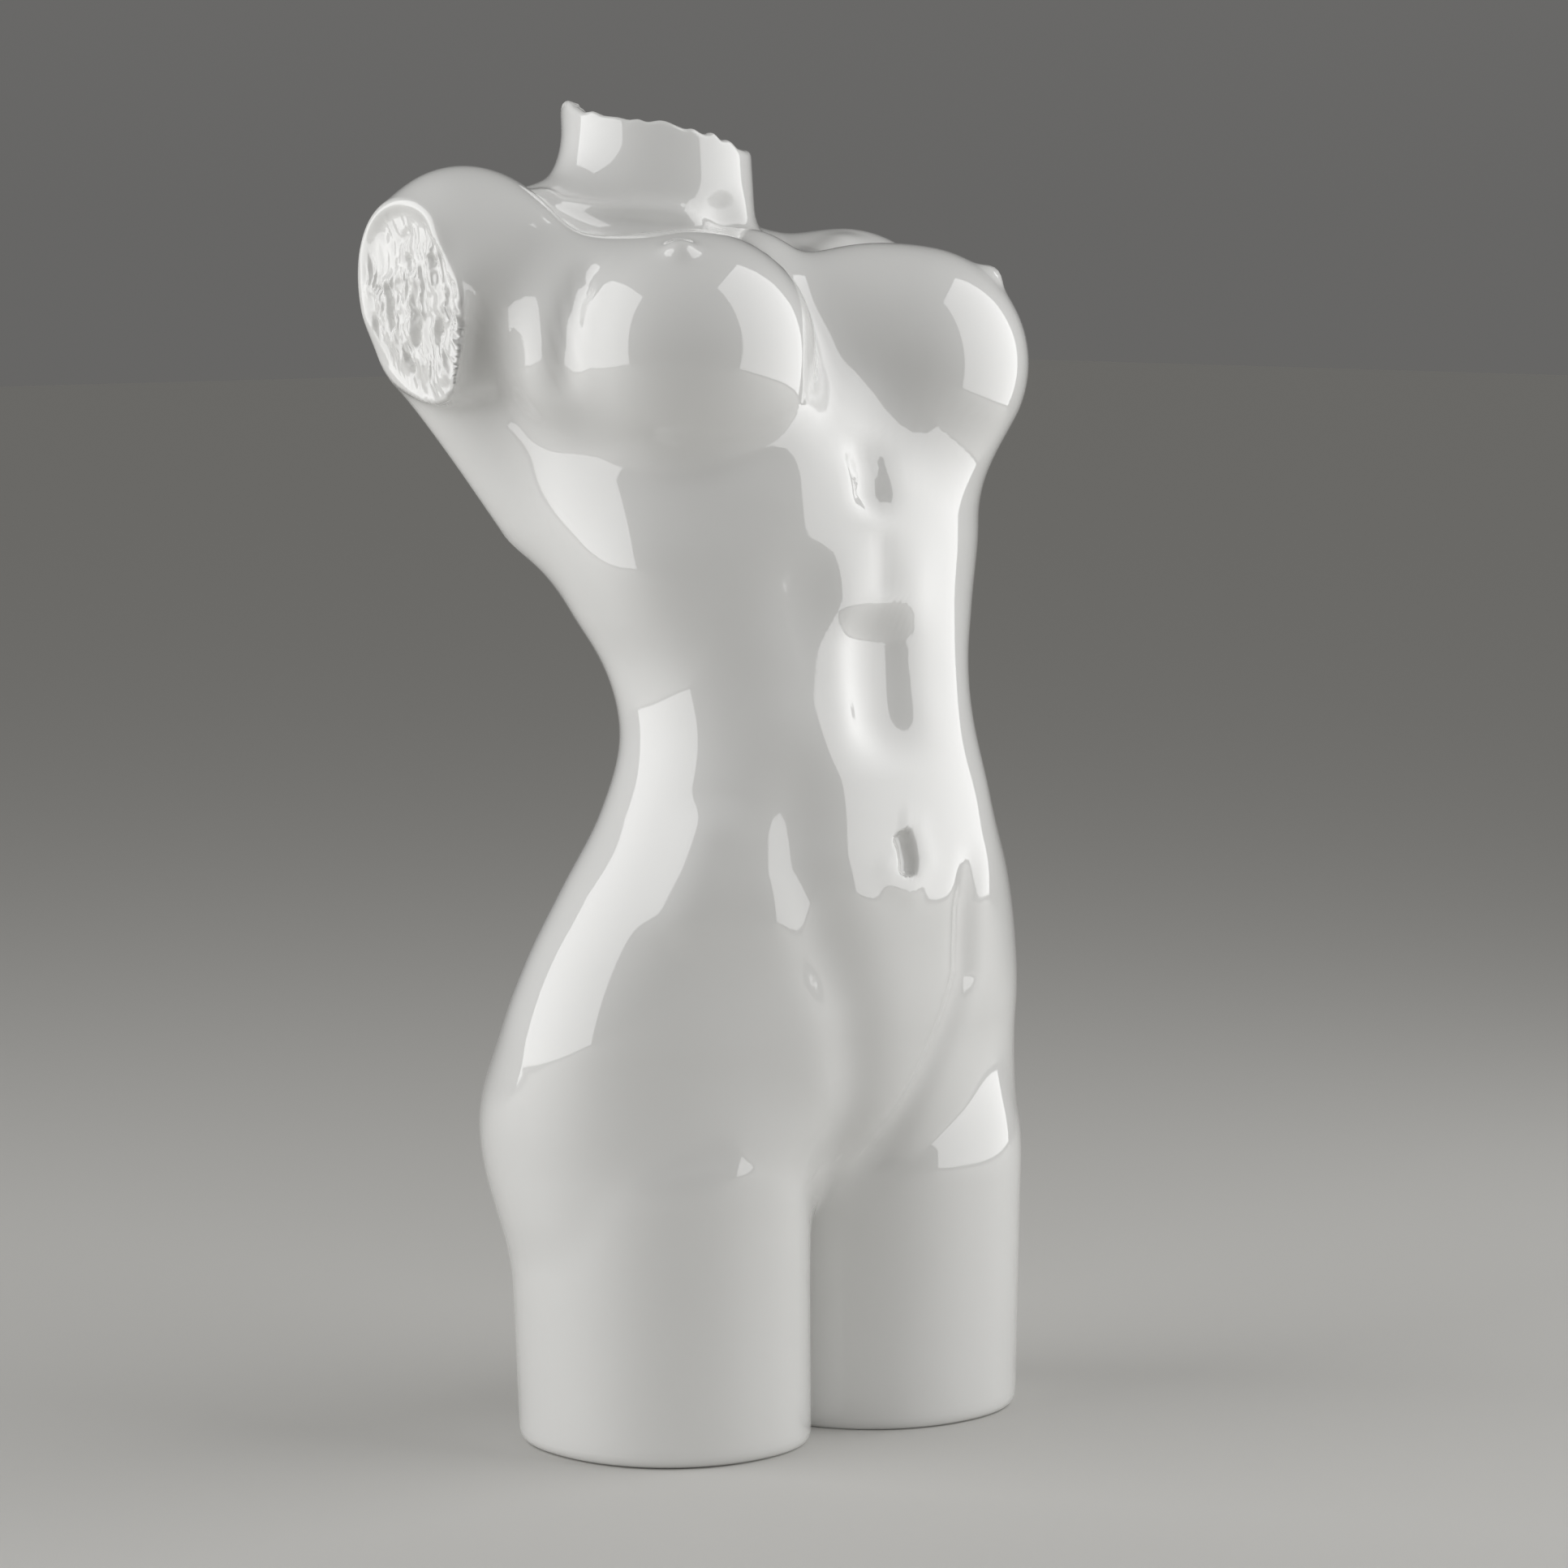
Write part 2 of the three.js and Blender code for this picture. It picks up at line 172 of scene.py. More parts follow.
def ridge(p, path, width, height, fade):
    """Ridge along a path: height times e to the minus squared distance in widths, faded at both ends."""
    nearest = np.full(p.shape[:-1], np.inf)
    place = np.zeros(p.shape[:-1])
    for i in range(len(path) - 1):
        share, way = along(p, path[i], path[i + 1])
        distance = np.linalg.norm(way, axis=-1)
        closer = distance < nearest
        nearest = np.where(closer, distance, nearest)
        place = np.where(closer, (i + share) / (len(path) - 1), place)
    return height * np.exp(-(nearest / width) ** 2) * ease(place, 0, fade) * ease(1 - place, 0, fade)


def masses(p):
    """Large masses run into each other: the trunk, cut at its ends, and then each of the others."""
    x, y, z = p[..., 0], p[..., 1], p[..., 2]
    both = np.stack([np.abs(x), y, z], -1)
    half_width, middle, front, back = through(z, TRUNK)
    half_depth = np.where(y < middle, middle - front, back - middle)
    form = section(x, y - middle, half_width, half_depth, squareness=2.3)
    # The trunk ends inside the thighs, on the slope from neck to breasts, and at the shoulders
    form = trim(form, 50 - z - 0.15 * (y + 14), 9)
    form = trim(form, (z - 266) * 0.72 - (y - 11) * 0.69, 14)
    form = trim(form, z - 262 + 0.07 * x, 18)
    # The left thigh stands a little further out and forward than the right one
    thighs = join(thigh(p, -1, 0, 0, 0), thigh(p, 1, 1.2, -1.6, 0.8), 2.5)
    right_arm = oval_limb(p, (-58, 27, 252), (-86, 23.2, 247.6), (17, 21), (16.8, 22.4), lean=19)
    left_arm = oval_limb(p, (56, 38, 240), (86, 38, 234), (16.5, 20), (16, 21), lean=14)
    # Each mass with the softness of its join to those before it
    for mass, soft in (
            (thighs, 8),
            (egg(both, (29.5, 14.5, 66), (29, 30.5, 28)), 14),                      # seat
            (limb(both, (46, 26, 205), (65, 35, 238), 5, 11), 18),                  # sides of the back
            (limb(p, (-16, -1, 250.5), (-42, 2, 248.5), 12.5, 11), 12),             # right chest
            (limb(p, (-45, 4, 246), (-70, 24, 252), 12.5, 15), 12),                 # and on to the arm
            (limb(p, (20, -3, 247), (52, 13, 245), 12, 9), 12),                     # left chest
            (limb(p, (-0.8, 35, 262), (-0.8, 37.6, 300), 21.4, 20.9), 9),           # neck
            (limb(p, (-16, 41, 267), (-50, 36, 262), 10.5, 9.5), 12),               # right shoulder
            (limb(p, (12, 40, 259), (52, 38, 250), 9.5, 9.5), 10),                  # left shoulder
            (egg(p, (-64, 26.5, 257), (21, 20, 21.5)), 12),                         # right shoulder's ball
            (right_arm, 5),
            (egg(p, (60, 37, 242), (21, 20, 21)), 12),                              # left shoulder's ball
            (left_arm, 5),
            (egg(p, (-50, 2, 241.5), (18.5, 14, 20)), 6),                           # fold at the armpit
            (limb(p, (0.5, 5.5, 254), (0.5, -15, 226), 9.5, 9), 12),                # breastbone
            (egg(p, (-34, -12.5, 240.4), (28.5, 25.5, 24.8)), 8),                   # right breast
            (egg(p, (31.8, -12.5, 235.3), (26.2, 25.5, 26)), 12)):                  # left breast
        form = join(form, mass, soft)
    return form


# Carving on the masses. A rise is its centre, half sizes and height. A ridge is its path, width, height,
# and the share of its length in which each end fades. Heights under 0 sink in.
RISES = [((0, -40, 104), (24, 24, 30), 2.2),                # belly
         ((33, -28.5, 140), (9, 9, 15), 1),                 # left flank
         ((-26, -31, 68), (16, 8, 9), 1.1),                 # front of the right thigh
         ((-51, -14, 190), (15, 16, 13), 2),                # lower ribs on the right
         ((-15, -27, 222), (11, 10, 11), 3),                # root of the right breast
         ((-58, 8, 266), (8, 10, 8), 2.4),                  # front of the right shoulder
         ((-45.8, -23.6, 261.6), (3.4, 3.4, 3.4), 2.4),     # right nipple
         ((46, -24, 255.5), (3.3, 3.3, 3.3), 2.2),          # left nipple
         ((-74, 9, 240), (5.5, 8, 13), -4.5),               # right armpit
         ((-81, 11.5, 259), (5, 4.5, 7), -1.8),             # dent in the right arm
         ((4, -37, 167), (18, 20, 12), -2.4),               # hollow above the navel
         ((0, 14, 268), (5, 4, 4), -3)]                     # notch between the collarbones
RIDGES = [
    # Side of the belly above the right hip, and the ring round the navel
    ([(-38, -28, 146), (-40.5, -28, 138), (-43.5, -27.5, 129), (-46.5, -26, 120), (-49, -24, 111)],
     6.5, 1.9, 0.3),
    ([(-5.5, -42.4, 131.8), (-2.4, -43, 126), (3, -43, 123.5), (8, -42.3, 129), (6, -41.7, 136),
      (0, -41.5, 138)], 3.5, 0.5, 0.1),
    # Right and left collarbone
    ([(-44, 33, 274), (-36.3, 32, 273), (-35, 29.2, 270.5), (-29.3, 27.5, 270), (-21.9, 23.5, 269.8),
      (-16.5, 19.2, 269.3), (-10.6, 15.4, 268.4), (-4.8, 14.5, 266)], 2.4, 1.3, 0.2),
    ([(3, 13, 265), (24, 17, 263), (44, 26, 262), (56, 31, 262)], 4, 1.2, 0.25),
    # Fold from the right shoulder down beside the breast
    ([(-54, -7, 260), (-60, -8, 254), (-64, -8, 245), (-65, -8, 236), (-62, -6, 227)], 3.5, -1.4, 0.25),
    # Left groin
    ([(25, -39, 134), (23, -39, 117), (25, -36, 102), (20, -35, 88), (9, -28, 65), (2, -17, 53)],
     4.6, -2.1, 0.2),
    # Right edge of the belly, then on into the right groin
    ([(-22, -32, 204), (-20, -33, 186), (-19.5, -34, 172), (-20, -36, 152)], 9, -1.2, 0.3),
    ([(-22.5, -34.5, 163), (-24, -35.8, 147), (-24.5, -37, 130), (-18.5, -38.3, 113), (-11, -38, 98),
      (-6, -34, 82), (-3, -24, 62), (0, -16, 50)], 7.5, -2.2, 0.22),
    # Groove down the middle of the belly, pit under the breastbone, and the fine line between them
    ([(0, -37, 186), (-0.5, -37.8, 174), (-0.5, -38.5, 162), (0, -40, 147)], 9.5, -4.6, 0.3),
    ([(2, -29, 222), (0, -32.8, 211.5), (-1.5, -35, 201)], 5.5, -2.8, 0.35),
    ([(0, -35, 202), (1, -36.3, 194), (1, -37, 184)], 3.5, -0.6, 0.3),
    # Slit of the navel
    ([(0.8, -41, 136), (2.2, -41.3, 132.3), (2.6, -41.9, 129), (1.8, -42.7, 125.6)], 1.7, -4, 0.15),
    # Spine, and the cleft of the seat
    ([(0, 58, 255), (0, 54, 225), (0, 36, 190), (0, 20, 155), (0, 26, 125), (0, 38, 104)], 8, -2.4, 0.15),
    ([(0, 40, 104), (0, 47, 88), (0, 46, 70), (0, 36, 52), (0, 30, 40)], 5, -6.5, 0.2)]

# Carving that both sides have alike, given for the left: dimple over the seat, the muscle beside the
# middle of the belly, and the edge of the shoulder blade
PAIRED_RISES = [((15, 31, 113), (5, 5, 5), -1.2)]
PAIRED_RIDGES = [([(10, -35, 205), (10, -39, 175), (10.5, -41, 150)], 6.5, 1, 0.3),
                 ([(20, 57, 258), (26, 58, 240), (34, 53, 222)], 9, 1.4, 0.3)]


def carving(p):
    """Rise of the finer forms above the masses: the sum of all the rises and ridges."""
    both = np.stack([np.abs(p[..., 0]), p[..., 1], p[..., 2]], -1)
    up = sum(rise(p, *form) for form in RISES) + sum(ridge(p, *form) for form in RIDGES)
    up += sum(rise(both, *form) for form in PAIRED_RISES)
    return up + sum(ridge(both, *form) for form in PAIRED_RIDGES)


def grain(u, v, seed):
    """Smooth noise from -1 to 1: seeded numbers on a lattice, blended by smooth steps between. It
    repeats after 64 numbers, which is further than any break is wide."""
    size = 64
    lattice = np.random.default_rng(seed).uniform(-1, 1, (size, size))
    i, j = np.floor(u).astype(int), np.floor(v).astype(int)
    s, t = ease(u - i, 0, 1), ease(v - j, 0, 1)
    i, j, next_i, next_j = i % size, j % size, (i + 1) % size, (j + 1) % size
    near = lattice[i, j] * (1 - s) + lattice[next_i, j] * s
    far = lattice[i, next_j] * (1 - s) + lattice[next_i, next_j] * s
    return near * (1 - t) + far * t


def torn(u, v, rim, seed):
    """Depth of a torn face under its plane: a shallow bowl inside the lip, with lumps, and with fibres
    drawn out along v that wander, as rounded crests where a stretched noise passes through 0."""
    inside = 1 - ease(rim, 0.8, 0.97)
    wander = 1.3 * grain(v / 5, u / 6, seed) + 0.5 * grain(v / 2.2, u / 4, seed + 4)
    fibres = 1 - 2.2 * np.sqrt(grain((u + wander) / 1.9, v / 6.5, seed + 1) ** 2 + 0.02)
    threads = 1 - 2.2 * np.sqrt(grain((u + wander) / 0.95, v / 3.6, seed + 2) ** 2 + 0.03)
    lumps = grain(u / 3.6, v / 4.2, seed + 3)
    return inside * (1 - 0.55 * fibres - 0.28 * threads + 0.6 * lumps)


def groove(u, v, path, width, depth):
    """Groove on a face: depth times e to the minus squared distance to its path in widths."""
    p = np.stack([u, v], -1)
    ways = [along(p, start, end)[1] for start, end in zip(path, path[1:])]
    away = np.min([np.linalg.norm(way, axis=-1) for way in ways], 0)
    return depth * np.exp(-(away / width) ** 2)


def tilt(p, middle_y, middle_z, lean):
    """Axes of an arm's section: u across to the back and v up along it, leaning back by degrees."""
    c, s = math.cos(math.radians(lean)), math.sin(math.radians(lean))
    y, z = p[..., 1] - middle_y, p[..., 2] - middle_z
    return y * c - z * s, y * s + z * c


# Right arm's break: grooves with their path, width and depth
ARM_GROOVES = [([(7.2, 6.8), (7.5, 4.3), (8.5, 1), (8.8, -0.7)], 0.9, 1.3),
               ([(0.4, -1.3), (0.8, -3.3), (3.2, -6.9)], 0.9, 1.3),
               ([(-6, -5), (-4.9, -6.4)], 0.9, 1.1),
               ([(7.8, -8.5), (7.2, -10.4), (8.2, -11.3)], 0.8, 1.1),
               ([(-9.5, 8.1), (-10, 6.6)], 0.7, 0.8),
               ([(-1.1, 10.5), (-1.7, 8.2)], 1, 1.2),
               ([(-3.5, 15.8), (-1.5, 15)], 1.2, 0.6)]


def right_arm_break(p):
    """Relief of the right arm's break: a smooth hollow at the top, fibres with torn grooves below it,
    and a smooth slanting facet along the lower back edge."""
    u, v = tilt(p, 23.8, 248.3, 19)
    rim = np.hypot(u / 16.9, v / 22.5)
    hollow = 1 - ease(np.hypot((u + 0.5) / 14, (v - 15) / 8.5), 0.55, 1)
    facet = ease(0.72 * u - 0.69 * v, 9, 17)
    depth = torn(u + 0.19 * v, v, rim, 3) * (1 - 0.75 * hollow) * (1 - 0.8 * facet) + 1.4 * hollow
    depth += 1.8 * facet
    return depth + sum(groove(u, v, *cut) for cut in ARM_GROOVES)


def left_arm_break(p):
    """Relief of the left arm's break, like the right one's: fibres below a smaller smooth hollow."""
    u, v = tilt(p, 38, 235, 14)
    hollow = 1 - ease(np.hypot((u - 2) / 10, (v - 12) / 7), 0.55, 1)
    depth = torn(u + 0.15 * v, v, np.hypot(u / 16.2, v / 21), 11) * (1 - 0.7 * hollow) + 1.1 * hollow
    return depth + groove(u, v, [(4, 3), (5, -1), (4.5, -5)], 0.9, 1.1)


# Neck's break: teeth of its lip with their turn from the front, width and height, in degrees and parts
NECK_TEETH = [(-32, 11, 1.1), (-16, 4, 0.8), (-2, 4, 1.2), (-50, 4, 0.5), (12, 5, 0.5), (40, 9, 0.7),
              (75, 6, 0.9), (118, 12, 1.1), (150, 7, 0.8), (176, 6, 0.7)]


def neck_break(p):
    """Relief of the neck's break: a ragged lip with a lump at the back right and small teeth along the
    front, and a torn bowl inside it."""
    x, y = p[..., 0] + 0.8, p[..., 1] - 37.5
    away = np.hypot(x, y)
    turn = np.degrees(np.arctan2(x, -y))
    lip = 1.2 * ease(away, 12, 20) * 0.35 * grain(turn / 9 + 40, 0 * turn, 31)
    for at, wide, high in NECK_TEETH:
        lip += high * np.exp(-((turn - at) / wide) ** 2) * ease(away, 13, 19)
    lip += rise(p * (1, 1, 0), (-18.3, 45.5, 0), (5.5, 6.5, 1), 2.7)
    return torn(x, y, away / 20.9, 23) + 1.8 * (1 - ease(away, 5, 18.5)) - lip


def breaks(p, form, fine):
    """Cuts off the arms and the neck by a plane each, plain or with its torn relief."""
    x, y, z = p[..., 0], p[..., 1], p[..., 2]
    right_cut = -x - 80 - 0.1 * (np.maximum(z, 215) - 248)
    left_cut = x - 78
    neck_cut = 0.2234 * (x + 14.8) - 0.0606 * (y - 22) + 0.9727 * (z - 288.1)
    if fine:
        right_cut += right_arm_break(p)
        left_cut += left_arm_break(p)
        neck_cut += neck_break(p)
    form = trim(form, right_cut, 1.6 if fine else 3.5)
    form = trim(form, left_cut, 1.6 if fine else 3.5)
    return trim(form, neck_cut, 1.2 if fine else 3)


def figure(p, fine=False):
    """Depth at p of the whole figure, down through the foot."""
    return breaks(p, masses(p) - carving(p), fine)


def slope(p, fine=False):
    """Depth and its slope at points, from four samples at the corners of a small tetrahedron."""
    corners = np.array([(1, -1, -1), (-1, -1, 1), (-1, 1, -1), (1, 1, 1)], float)
    nudge = 0.04
    samples = [figure(p + nudge * corner, fine) for corner in corners]
    out = sum(sample[..., None] * corner for sample, corner in zip(samples, corners)) / (4 * nudge)
    return sum(samples)[..., None] / 4, out


def settle(p, passes):
    """Moves points onto the skin: each by the depth there over its slope, at most 2 parts."""
    furthest = 2
    for _ in range(passes):
        depth, out = slope(p)
        steep = np.linalg.norm(out, axis=-1, keepdims=True)
        p = p - np.clip(depth / steep, -furthest, furthest) * out / steep
    return p


# Inner line that the skin is found from: share of the rows, y, height, elevation in degrees
SPINE = [(0, 1, 0, 0), (0.15, 2, 60, 0), (0.32, 0, 110, 0), (0.46, -8, 157, 0), (0.6, 8, 200, 0),
         (0.69, 22, 226, 0), (0.76, 29, 237, 8), (0.84, 33, 243, 28), (0.92, 36, 248, 58),
         (1, 38, 250, 90)]


def first_skin(columns, rows):
    """Points where rays from the inner line leave the figure, found by halving: one ray for each turn
    round the body and share of the line, crowded towards the arms higher up."""
    share = np.linspace(0, 1, rows)
    back, height, rising = through(share, SPINE)
    turn = np.linspace(0, 2 * np.pi, columns, endpoint=False) - np.pi / 2
    crowd = 0.3 * ease(share, 0.4, 0.66) * (1 - ease(share, 0.8, 0.95))
    angle = turn - crowd[:, None] * np.sin(2 * turn)
    rising = np.radians(rising)[:, None]
    way = np.stack([np.cos(rising) * np.cos(angle), np.cos(rising) * np.sin(angle),
                    np.sin(rising) + 0 * angle], -1)
    start = np.stack([0 * back, back, np.maximum(height, BASE_ROUND)], -1)[:, None]
    far_out, halvings = 130.0, 14
    inside, outside = np.zeros(way.shape[:2]), np.full(way.shape[:2], far_out)
    for _ in range(halvings):
        middle = (inside + outside) / 2
        within = figure(start + way * middle[..., None]) < 0
        inside, outside = np.where(within, middle, inside), np.where(within, outside, middle)
    return start + way * inside[..., None]


def even_rows(skin, rows):
    """Rows spread along every column by its length, closer together on the breaks."""
    middle = (skin[1:] + skin[:-1]) / 2
    weight = 1 + 0.4 * ease(np.abs(middle[..., 0]), 66, 76) + 0.3 * ease(middle[..., 2], 274, 280)
    steps = np.linalg.norm(np.diff(skin, axis=0), axis=-1) * weight
    length = np.vstack([np.zeros(skin.shape[1]), np.cumsum(steps, axis=0)])
    goal = np.linspace(0, 1, rows)
    columns = [[np.interp(goal * length[-1, j], length[:, j], skin[:, j, k]) for k in range(3)]
               for j in range(skin.shape[1])]
    return np.array(columns).transpose(2, 0, 1)


def relax(skin, passes):
    """Evens the grid out: each point goes six tenths of the way to the mean of its four neighbours, but
    only along the skin, and then back onto it. The lowest row and the pole stay."""
    for count in range(passes):
        if count % 3 == 0:
            way = slope(skin[1:-1])[1]
            way /= np.linalg.norm(way, axis=-1, keepdims=True)
        mean = (np.roll(skin, 1, 1) + np.roll(skin, -1, 1))[1:-1] / 4 + (skin[2:] + skin[:-2]) / 4
        step = 0.6 * (mean - skin[1:-1])
        step -= (step * way).sum(-1, keepdims=True) * way
        skin = skin.copy()
        skin[1:-1] += step
        skin[1:-1] -= np.clip(figure(skin[1:-1]), -1, 1)[..., None] * way
    return skin


# The skin: half of its columns are found by rays, and the others lie on the cubic between them
FIRST_ROWS = 200
skin = even_rows(first_skin(COLUMNS // 2, FIRST_ROWS), ROWS)
between = (9 * (skin + np.roll(skin, -1, 1)) - np.roll(skin, 1, 1) - np.roll(skin, -2, 1)) / 16
skin = np.stack([skin, between], 2).reshape(ROWS, COLUMNS, 3)
skin[1:-1] = settle(skin[1:-1], 3)
skin[-1] = skin[-1].mean(0)
skin = relax(skin, 9)
skin[-1] = settle(skin[-1], 3)

# The foot: flat rings at shares of the way from the middle to the lowest row, then the rings of the
# soft edge, each by its turn up the quarter round in degrees
FLAT_RINGS = (0.09, 0.51, 0.79)
EDGE_TURNS = (0, 22.5, 45, 67.5)
foot_middle = np.array([0, SPINE[0][1], 0.0])
outwards = skin[0] - foot_middle
outwards[:, 2] = 0
reach = np.linalg.norm(outwards, axis=-1, keepdims=True)
foot = []
for share in FLAT_RINGS:
    foot.append(foot_middle + outwards * share)
for turn in np.radians(EDGE_TURNS):
    ring = foot_middle + outwards * (1 - BASE_ROUND * (1 - np.sin(turn)) / reach)
    ring[:, 2] = BASE_ROUND * (1 - np.cos(turn))
    foot.append(ring)
rings = np.concatenate([np.array(foot), skin[:-1]])
count = len(rings)
points = np.concatenate([[foot_middle], rings.reshape(-1, 3), skin[-1:, 0]])
i, j = np.meshgrid(np.arange(count - 1), np.arange(COLUMNS), indexing="ij")
after = (j + 1) % COLUMNS
quads = 1 + np.stack([i * COLUMNS + j, i * COLUMNS + after, (i + 1) * COLUMNS + after,
                      (i + 1) * COLUMNS + j], -1).reshape(-1, 4)
column = np.arange(COLUMNS)
after = (column + 1) % COLUMNS
below = np.stack([0 * column, 1 + after, 1 + column], -1)
last = 1 + (count - 1) * COLUMNS
above = np.stack([last + column, last + after, 0 * column + len(points) - 1], -1)

mesh = bpy.data.meshes.new("torso_skin")
mesh.from_pydata(points.tolist(), [], below.tolist() + quads.tolist() + above.tolist())

# The breaks get a three times finer mesh, and the nipples and navel a twice finer one
FINE_SPOTS = np.array([(-45, -22.5, 261), (46, -24, 255.5), (0, -42, 131)])
SPOT_REACH = 7
shell = bmesh.new()
shell.from_mesh(mesh)
for cuts in (2, 1):
    shell.faces.ensure_lookup_table()
    centres = np.array([face.calc_center_median()[:] for face in shell.faces])
    x, z = centres[:, 0], centres[:, 2]
    if cuts == 2:
        wanted = (np.abs(x + 1) > 76) & (z > 200) | (z > 279)
    else:
        wanted = (np.linalg.norm(centres[:, None] - FINE_SPOTS, axis=-1) < SPOT_REACH).any(1)
    edges = {edge for k in np.flatnonzero(wanted) for edge in shell.faces[k].edges}
    bmesh.ops.subdivide_edges(shell, edges=list(edges), cuts=cuts, use_grid_fill=True)
bmesh.ops.triangulate(shell, faces=[face for face in shell.faces if len(face.verts) > 4])
shell.to_mesh(mesh)
shell.free()
points = np.empty(len(mesh.vertices) * 3, np.float64)
mesh.vertices.foreach_get("co", points)
points = points.reshape(-1, 3)

# All points settle onto the figure once more. Then those on the breaks move straight along the plain
# skin's slope until they lie on the torn relief, and the normals follow the slope that they reach.
x, z = points[:, 0], points[:, 2]
upper = z > BASE_ROUND + 0.01
points[upper] = settle(points[upper], 2)
broken = (np.abs(x) > 70) & (z > 205) | (z > 274)
_, way = slope(points[broken])
way /= np.linalg.norm(way, axis=-1, keepdims=True)
for _ in range(5):
    points[broken] -= np.clip(figure(points[broken], True)[:, None], -1.5, 1.5) * way
mesh.vertices.foreach_set("co", (points * PART).ravel().astype(np.float32))
mesh.polygons.foreach_set("use_smooth", np.ones(len(mesh.polygons), bool))
mesh.update()
mesh.validate()
normals = np.empty(len(mesh.vertices) * 3, np.float32)
mesh.vertex_normals.foreach_get("vector", normals)
normals = normals.reshape(-1, 3)
_, out = slope(points[upper], True)
normals[upper] = out / np.linalg.norm(out, axis=-1, keepdims=True)
mesh.normals_split_custom_set_from_vertices(normals.tolist())
torso = bpy.data.objects.new("torso_skin", mesh)
bpy.context.collection.objects.link(torso)


def linear(hex_code):
    """sRGB hex colour to linear: each part over 12.92, or ((part + 0.055) / 1.055) to the power 2.4."""
    parts = [int(hex_code[k:k + 2], 16) / 255 for k in (1, 3, 5)]
    return [c / 12.92 if c <= 0.04045 else ((c + 0.055) / 1.055) ** 2.4 for c in parts] + [1.0]


def add_node(tree, kind, settings=None, **links):
    """Adds a node, sets its properties, and sets or links its inputs by name, with _ for a space."""
    node = tree.nodes.new(kind)
    for key, value in (settings or {}).items():
        setattr(node, key, value)
    for key, value in links.items():
        socket = node.inputs[int(key[1:])] if key[0] == "_" else node.inputs[key.replace("_", " ")]
        if isinstance(value, bpy.types.NodeSocket):
            tree.links.new(value, socket)
        else:
            socket.default_value = value
    return node


# Glazed porcelain: white body under a clear fired glaze about 0.3 mm thick. The glaze flows in the kiln,
# so it mirrors sharply but not flatly: swells a finger wide and 0.05 mm high, a fine orange peel, and a
# white that changes a little over the body.
porcelain = bpy.data.materials.new("glazed_porcelain")
porcelain.use_nodes = True
tree = porcelain.node_tree
glaze = tree.nodes["Principled BSDF"]
SWELL_WIDE, SWELL_HIGH = 0.016, 0.00005     # metres, as all sizes from here on
PEEL_WIDE, PEEL_HIGH = 0.003, 0.000003
TONE_WIDE = 0.05
place = add_node(tree, "ShaderNodeTexCoord").outputs["Object"]
swell = add_node(tree, "ShaderNodeTexNoise", Vector=place, Scale=1 / SWELL_WIDE, Detail=1.0)
peel = add_node(tree, "ShaderNodeTexNoise", Vector=place, Scale=1 / PEEL_WIDE, Detail=1.0)
slow = add_node(tree, "ShaderNodeBump", Height=swell.outputs["Fac"], Distance=SWELL_HIGH, Strength=1.0)
fine = add_node(tree, "ShaderNodeBump", Height=peel.outputs["Fac"], Distance=PEEL_HIGH, Strength=1.0,
                Normal=slow.outputs["Normal"])
tree.links.new(fine.outputs["Normal"], glaze.inputs["Normal"])
tree.links.new(fine.outputs["Normal"], glaze.inputs["Coat Normal"])
tone = add_node(tree, "ShaderNodeTexNoise", Vector=place, Scale=1 / TONE_WIDE, Detail=2.0)
white = add_node(tree, "ShaderNodeMix", {"data_type": "RGBA"}, _0=tone.outputs["Fac"],
                 _6=linear("#F0F0EE"), _7=linear("#F5F5F4"))
tree.links.new(white.outputs[2], glaze.inputs["Base Color"])
glaze.inputs["Roughness"].default_value = 0.07
glaze.inputs["IOR"].default_value = 1.5
glaze.inputs["Coat Weight"].default_value = 1.0
glaze.inputs["Coat Roughness"].default_value = 0.02
glaze.inputs["Coat IOR"].default_value = 1.55
mesh.materials.append(porcelain)

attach(torso, "root")
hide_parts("torso")

# Floor: a wide matte sheet of pale card, the surface that the torso stands on.
FLOOR_REACH = 6.0
corners = [(x * FLOOR_REACH, y * FLOOR_REACH, 0) for x, y in ((-1, -1), (1, -1), (1, 1), (-1, 1))]
sheet = bpy.data.meshes.new("floor_sheet")
sheet.from_pydata(corners, [], [(0, 1, 2, 3)])
floor = bpy.data.objects.new("floor", sheet)
bpy.context.collection.objects.link(floor)
card = bpy.data.materials.new("pale_card")
card.use_nodes = True
card.node_tree.nodes["Principled BSDF"].inputs["Base Color"].default_value = linear("#D2D1CE")
card.node_tree.nodes["Principled BSDF"].inputs["Roughness"].default_value = 0.8
sheet.materials.append(card)

# Camera: a long lens about 1.2 m away at the height of the collarbones, seeing the figure 42 degrees
# from its front and looking 6 degrees down.
from mathutils import Matrix, Vector
CAMERA_TURN, CAMERA_DOWN = 42, 6.05
CAMERA_AWAY, CAMERA_HEIGHT, CAMERA_SHIFT = 1.2, 0.27, 0.00357
turn, down = math.radians(CAMERA_TURN), math.radians(CAMERA_DOWN)
forward = Vector((math.sin(turn) * math.cos(down), math.cos(turn) * math.cos(down), -math.sin(down)))
right = Vector((math.cos(turn), -math.sin(turn), 0))
upward = right.cross(forward)
lens = bpy.data.cameras.new("studio_camera")
lens.sensor_width = 36
lens.lens = lens.sensor_width * 6720 / 1932     # focal length and picture width in pixels
camera = bpy.data.objects.new("studio_camera", lens)
bpy.context.collection.objects.link(camera)
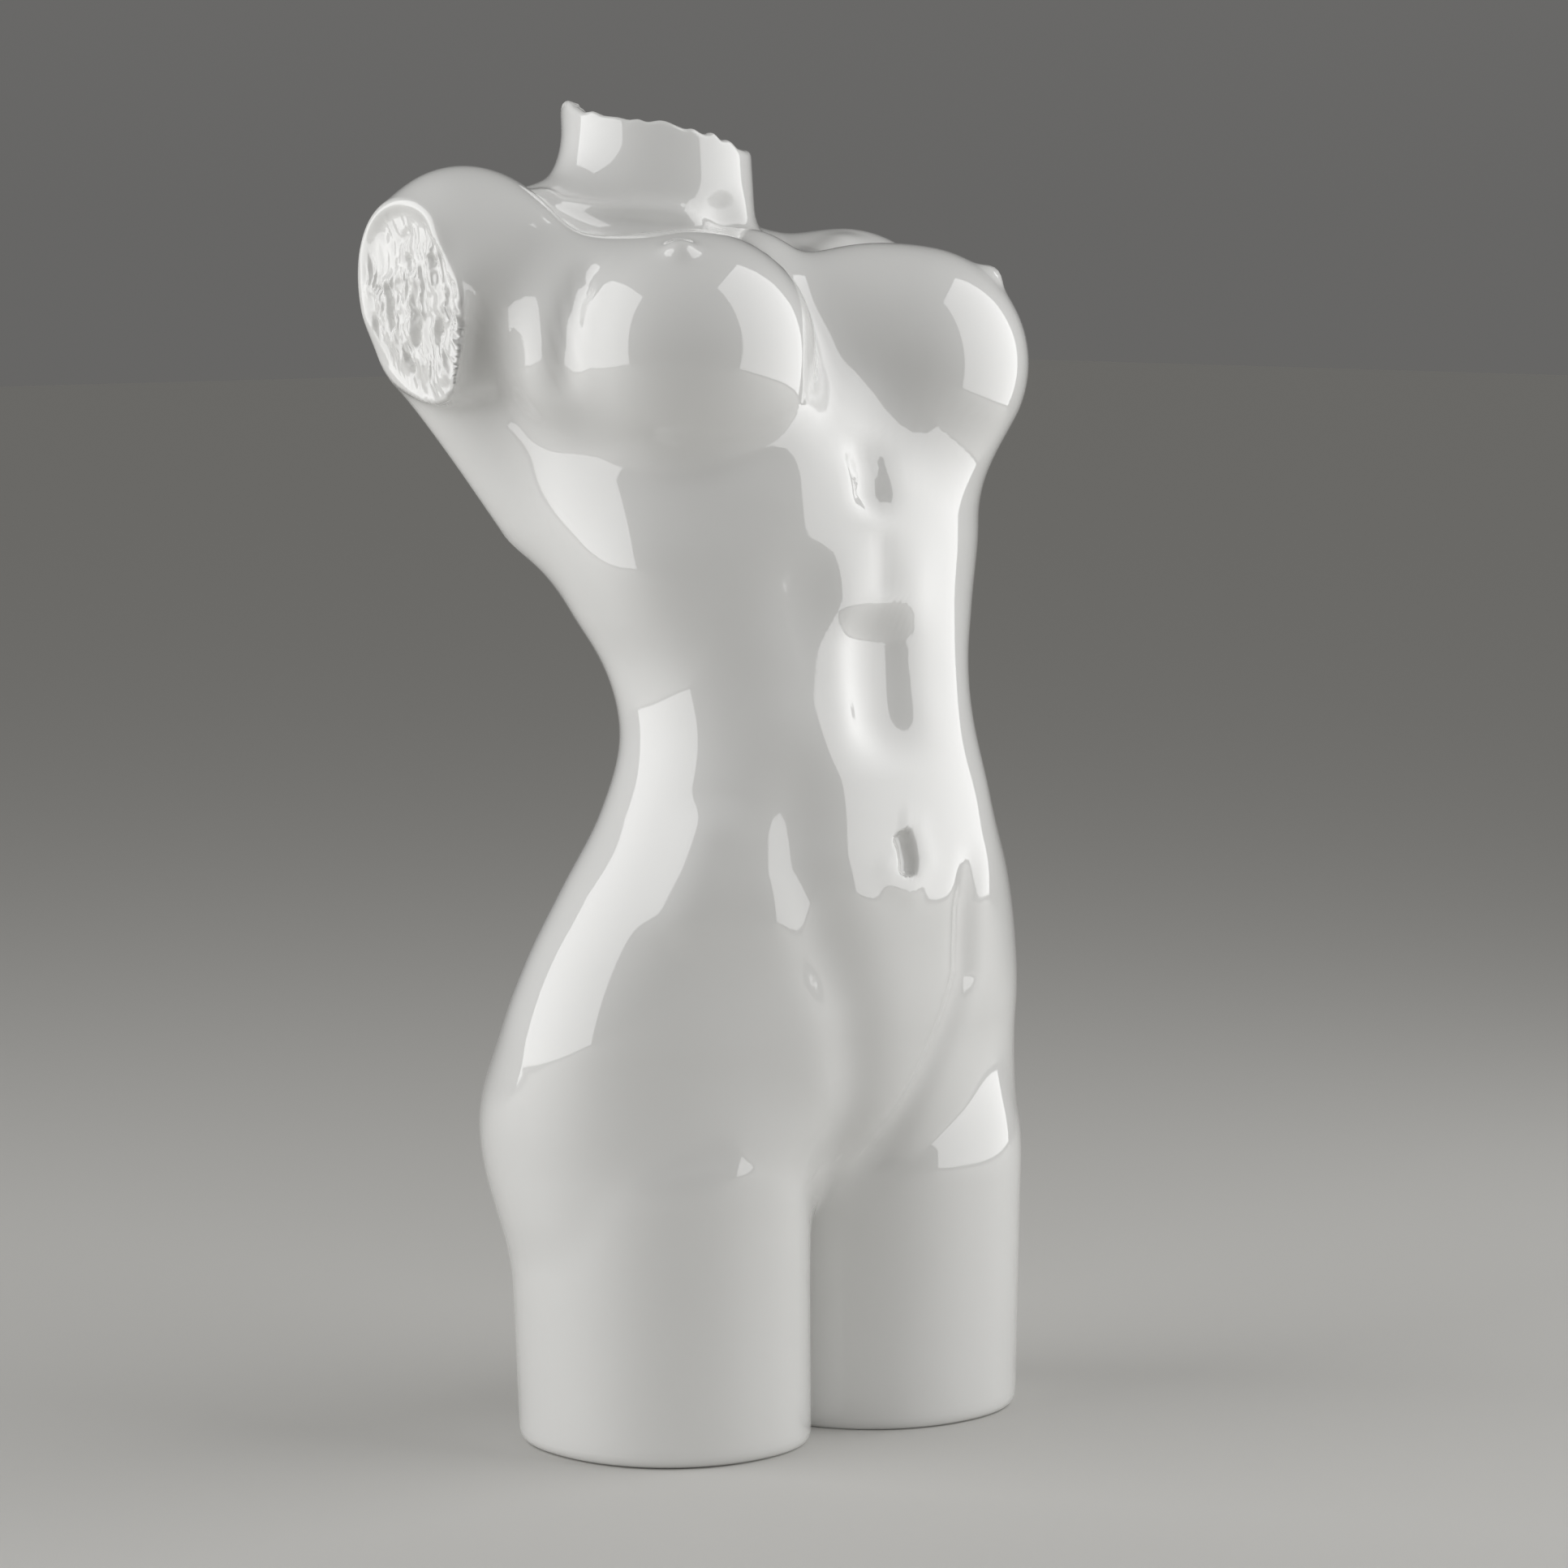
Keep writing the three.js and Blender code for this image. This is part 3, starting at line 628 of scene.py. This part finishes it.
spot = Vector((-math.sin(turn) * CAMERA_AWAY, -math.cos(turn) * CAMERA_AWAY, CAMERA_HEIGHT))
aimed = Matrix((right, upward, -forward)).transposed().to_4x4()
camera.matrix_world = Matrix.Translation(spot + right * CAMERA_SHIFT) @ aimed
bpy.context.scene.camera = camera

# Light: two large softboxes, one on each side of the camera, and a dim room that is lighter higher up.
BOX_MIDDLE, BOX_AIM, BOX_TALL = 0.61, 0.62, 1.2


def softbox(name, centre, aim, width, height, power):
    """Rectangular area light at a centre, facing a point, with its size and power."""
    light = bpy.data.lights.new(name, "AREA")
    light.shape, light.size, light.size_y, light.energy = "RECTANGLE", width, height, power
    box = bpy.data.objects.new(name, light)
    bpy.context.collection.objects.link(box)
    box.location = centre
    box.rotation_euler = (Vector(aim) - Vector(centre)).to_track_quat("-Z", "Y").to_euler()


def around(turn, distance, height):
    """Place at a turn from the way back to the camera, plus to its right, round the torso."""
    turn = math.radians(turn - CAMERA_TURN)
    return Vector((math.sin(turn) * distance, -math.cos(turn) * distance, height))


softbox("softbox_right", around(90, 0.55, BOX_MIDDLE), (0, 0, BOX_AIM), 0.74, BOX_TALL, 4.3)
softbox("softbox_left", around(-72, 0.70, BOX_MIDDLE), (0, 0, BOX_AIM), 0.80, BOX_TALL, 5.2)
world = bpy.data.worlds.new("dim_room")
bpy.context.scene.world = world
world.use_nodes = True
toward = add_node(world.node_tree, "ShaderNodeTexCoord").outputs["Generated"]
upness = add_node(world.node_tree, "ShaderNodeSeparateXYZ", Vector=toward).outputs["Z"]
share = add_node(world.node_tree, "ShaderNodeMapRange", Value=upness, From_Min=0.0, From_Max=0.5)
room = add_node(world.node_tree, "ShaderNodeMix", {"data_type": "RGBA"}, _0=share.outputs["Result"],
                _6=linear("#A9A8A6"), _7=linear("#D2D1CE"))
world.node_tree.links.new(room.outputs[2], world.node_tree.nodes["Background"].inputs["Color"])
world.node_tree.nodes["Background"].inputs["Strength"].default_value = 0.34
bpy.context.scene.view_settings.view_transform = "Standard"
